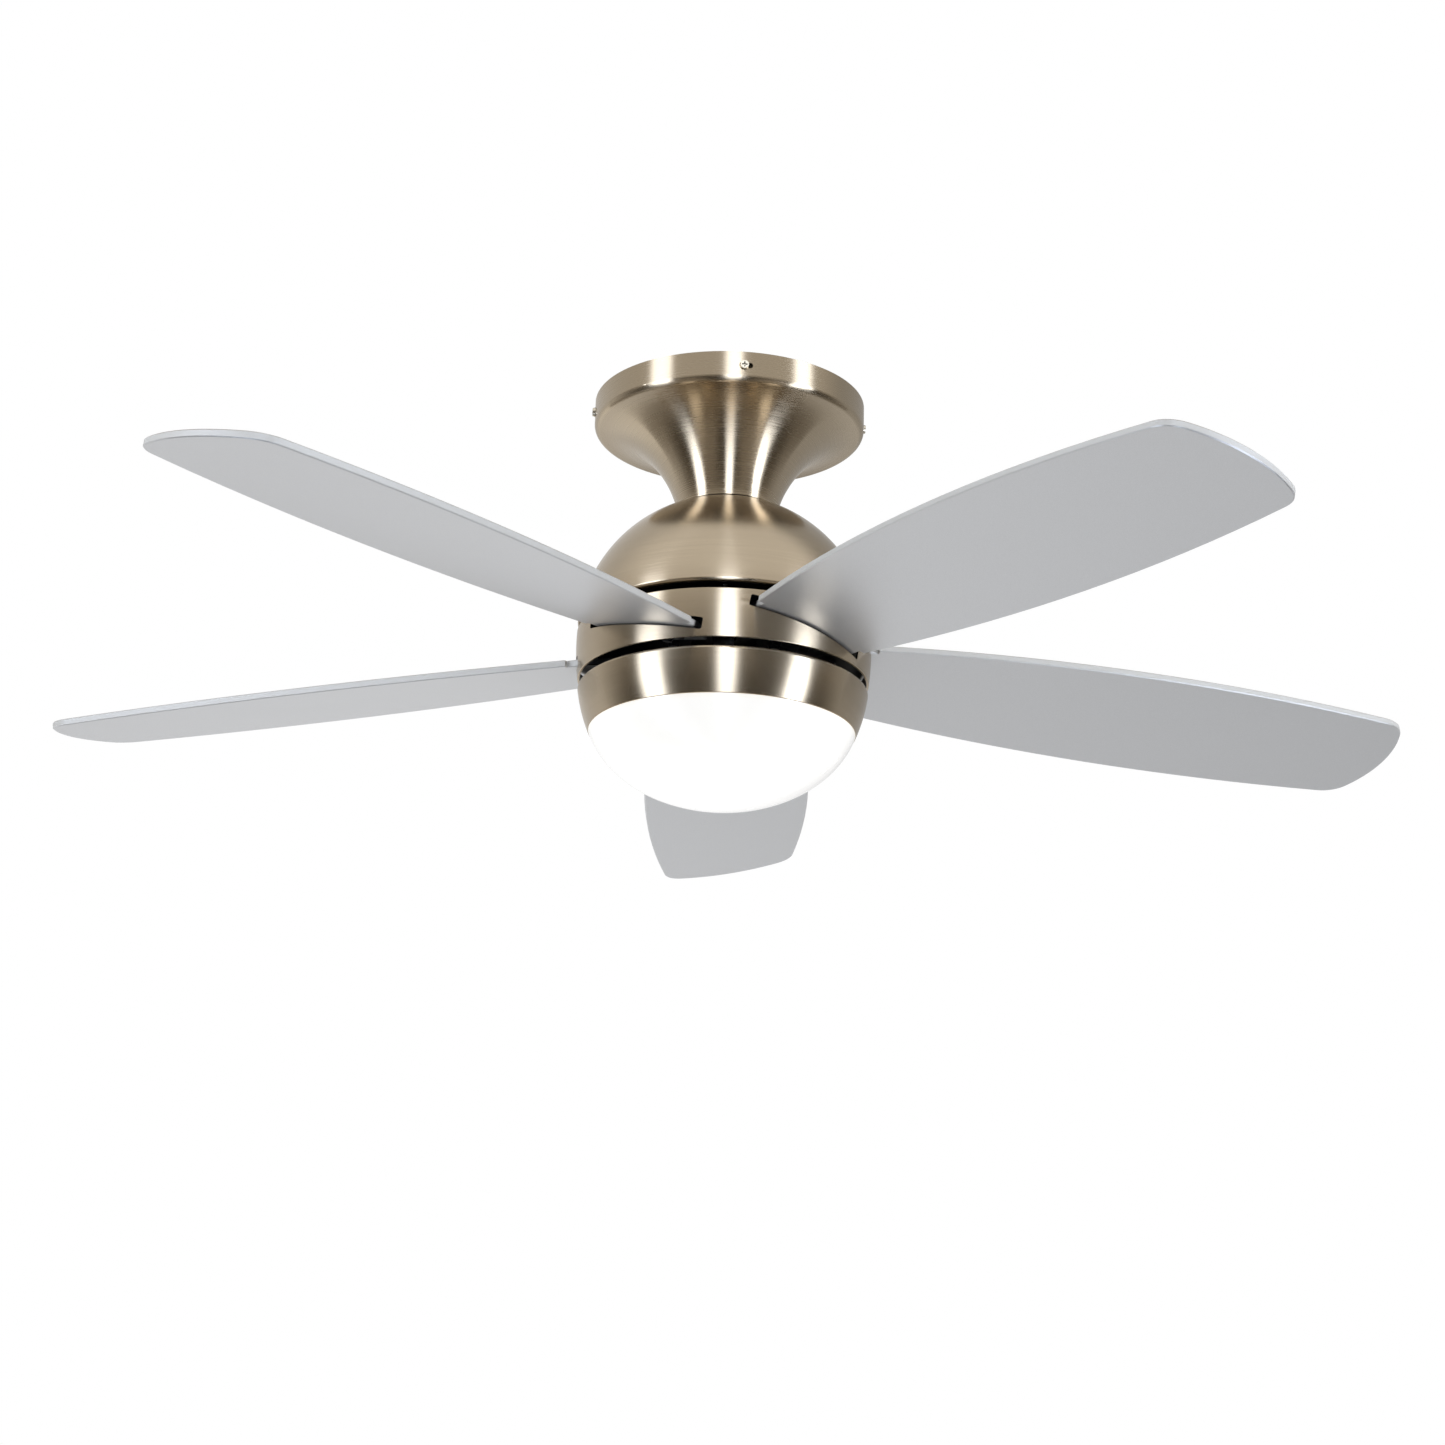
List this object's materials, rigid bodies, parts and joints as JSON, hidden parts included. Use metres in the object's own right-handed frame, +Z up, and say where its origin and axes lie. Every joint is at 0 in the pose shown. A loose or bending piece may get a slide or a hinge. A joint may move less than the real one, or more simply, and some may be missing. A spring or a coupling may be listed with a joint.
{
  "type": "ceiling fan with light",
  "caption": "Flush ceiling fan in brushed nickel: trumpet canopy, motor dome, turning slotted band with pitched grey blades, and a light collar with a lit opal bowl.",
  "frame": {"origin": "on the fan's axis in the plane of the ceiling, midway between the bracket's two outlet-box slots", "axes": "+Z up into the ceiling along the fan's axis, +X along the line of the two outlet-box slots, +Y away from the side that the picture is taken from"},
  "size_m": [1.0252, 0.9884, 0.309],
  "materials": {
    "brushed_nickel": "warm grey nickel plate, brushed round the axis",
    "nickel_screws": "bright nickel plate",
    "blade_lacquer": "satin silver-grey lacquer on fibreboard",
    "zinc_steel": "zinc plate",
    "black_oxide": "black oxide on steel",
    "cast_aluminium": "as cast",
    "black_casting": "black enamel on cast aluminium",
    "bearing_steel": "ground and polished",
    "lamination_steel": "oiled stacked laminations",
    "copper_wire": "enamelled copper winding",
    "white_moulding": "moulded white",
    "dark_moulding": "moulded black",
    "board_mask": "white mask on an aluminium board",
    "led_phosphor": "lit phosphor",
    "opal_acrylic": "lit opal acrylic"
  },
  "bodies": {
    "fixed_frame": {"mounting_bracket": "zinc_steel", "canopy": "brushed_nickel", "canopy_screws": "nickel_screws", "remote_receiver": "dark_moulding", "terminal_block": "white_moulding", "upper_dome": "brushed_nickel", "shaft_coupling": "cast_aluminium", "coupling_screws": "zinc_steel", "shaft_pin": "zinc_steel", "motor_shaft": "zinc_steel", "upper_bearing_inner_ring": "bearing_steel", "lower_bearing_inner_ring": "bearing_steel", "stator_core": "lamination_steel", "stator_coils": "copper_wire", "fitter_plate": "black_oxide", "shaft_nut": "zinc_steel", "light_collar": "brushed_nickel", "collar_screws": "zinc_steel", "led_driver": "white_moulding", "led_spacers": "white_moulding", "led_board": "board_mask", "led_chips": "led_phosphor", "led_screws": "zinc_steel"},
    "rotor": {"upper_bearing_outer_ring": "bearing_steel", "lower_bearing_outer_ring": "bearing_steel", "bearing_balls": "bearing_steel", "motor_upper_cover": "cast_aluminium", "rotor_ring": "lamination_steel", "motor_lower_cover": "cast_aluminium", "motor_screws": "zinc_steel", "blade_hub": "black_casting", "hub_screws": "black_oxide", "blade_band": "brushed_nickel", "band_screws": "black_oxide", "blade_screws": "black_oxide", "blade_washers": "dark_moulding", "blade_1": "blade_lacquer", "blade_2": "blade_lacquer", "blade_3": "blade_lacquer", "blade_4": "blade_lacquer", "blade_5": "blade_lacquer"},
    "bowl": {"light_bowl": "opal_acrylic"}
  },
  "joints": [
    {"name": "fan_spin", "type": "hinge", "parent": "fixed_frame", "child": "rotor", "pos_m": [0, 0, -0.199], "axis": [0, 0, 1], "continuous": true},
    {"name": "bowl_twist", "type": "hinge", "parent": "fixed_frame", "child": "bowl", "pos_m": [0, 0, -0.2555], "axis": [0, 0, 1], "range_deg": [0, 20]}
  ]
}
